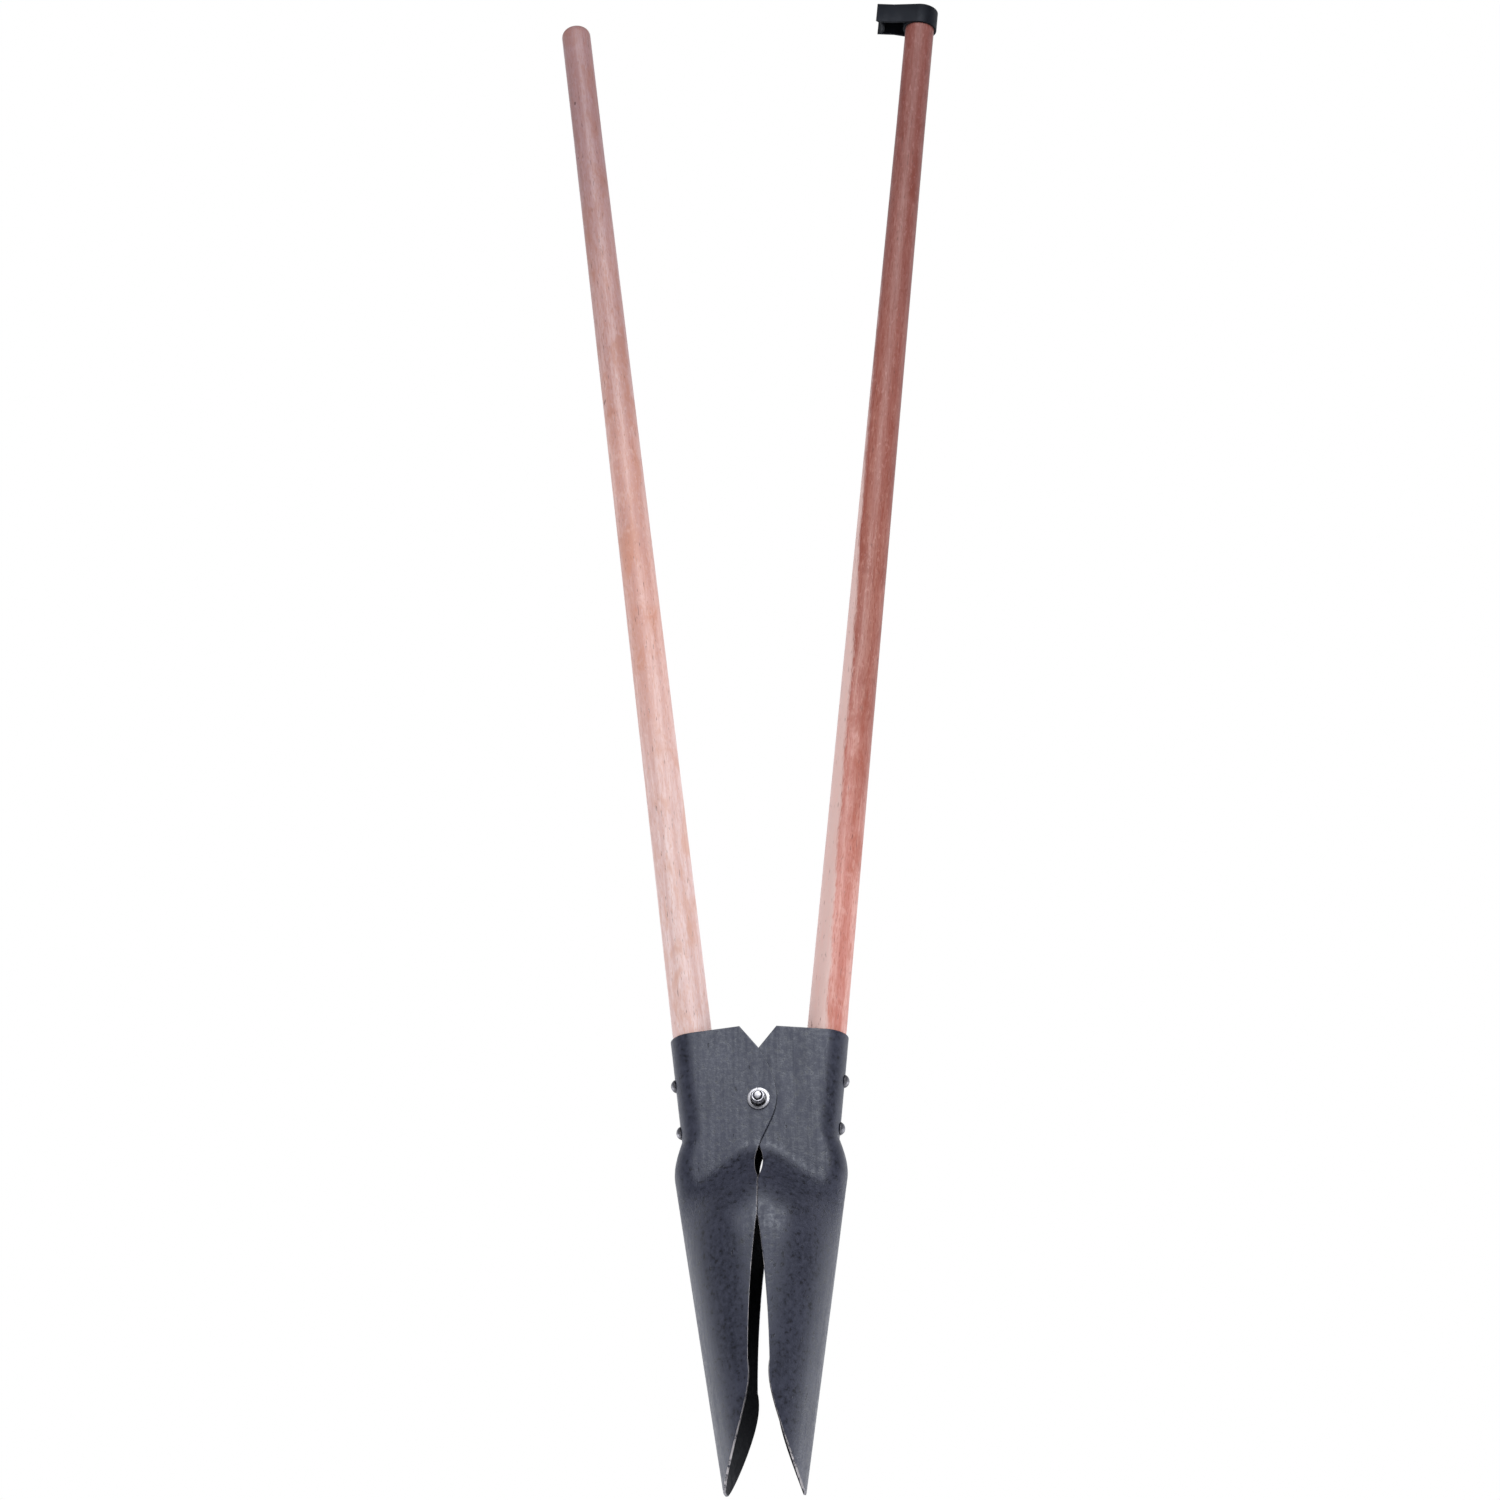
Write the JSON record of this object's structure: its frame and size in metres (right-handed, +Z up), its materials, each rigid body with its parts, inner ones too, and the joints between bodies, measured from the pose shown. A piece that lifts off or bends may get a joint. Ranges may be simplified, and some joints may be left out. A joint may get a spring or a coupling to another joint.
{
  "type": "post hole digger",
  "caption": "Hand post hole digger: pressed-steel scoops hinged on a pivot bolt, each riveted to a tapered wooden handle; a moulded clip on one handle takes the other.",
  "frame": {"origin": "middle of the tool at the level of the blades' tips, below the pivot axis", "axes": "+Z up along the tool, handles at the top; +X from the left handle to the right one; the pivot axis lies along Y, the nut on the -Y side"},
  "size_m": [0.3844, 0.1176, 1.5395],
  "materials": {
    "jaw_steel": "blue-black satin coat with a fine mottle, bare bright sheet edges",
    "left_handle_wood": "pale pink-beige straight-grained hardwood, thin lacquer",
    "right_handle_wood": "red-brown straight-grained hardwood with a pale sapwood strip, thin lacquer",
    "zinc_rivet": "bright zinc",
    "zinc_bolt": "bright zinc",
    "locking_nylon": "dull nylon",
    "clip_plastic": "near-black moulded plastic, light sheen"
  },
  "bodies": {
    "left_half": {"left_jaw": "jaw_steel", "left_handle": "left_handle_wood", "left_upper_rivet": "zinc_rivet", "left_lower_rivet": "zinc_rivet", "left_upper_burr": "zinc_rivet", "left_lower_burr": "zinc_rivet", "pivot_bolt": "zinc_bolt", "pivot_nut": "zinc_bolt", "nut_locking_ring": "locking_nylon", "front_washer": "zinc_bolt", "rear_washer": "zinc_bolt"},
    "right_half": {"right_jaw": "jaw_steel", "right_handle": "right_handle_wood", "right_upper_rivet": "zinc_rivet", "right_lower_rivet": "zinc_rivet", "right_upper_burr": "zinc_rivet", "right_lower_burr": "zinc_rivet", "handle_clip": "clip_plastic", "clip_screw": "zinc_bolt"}
  },
  "joints": [
    {"name": "jaw_pivot", "type": "hinge", "parent": "left_half", "child": "right_half", "pos_m": [0, 0, 0.36273], "axis": [0, -1, 0], "range_deg": [0, 14.5]}
  ]
}
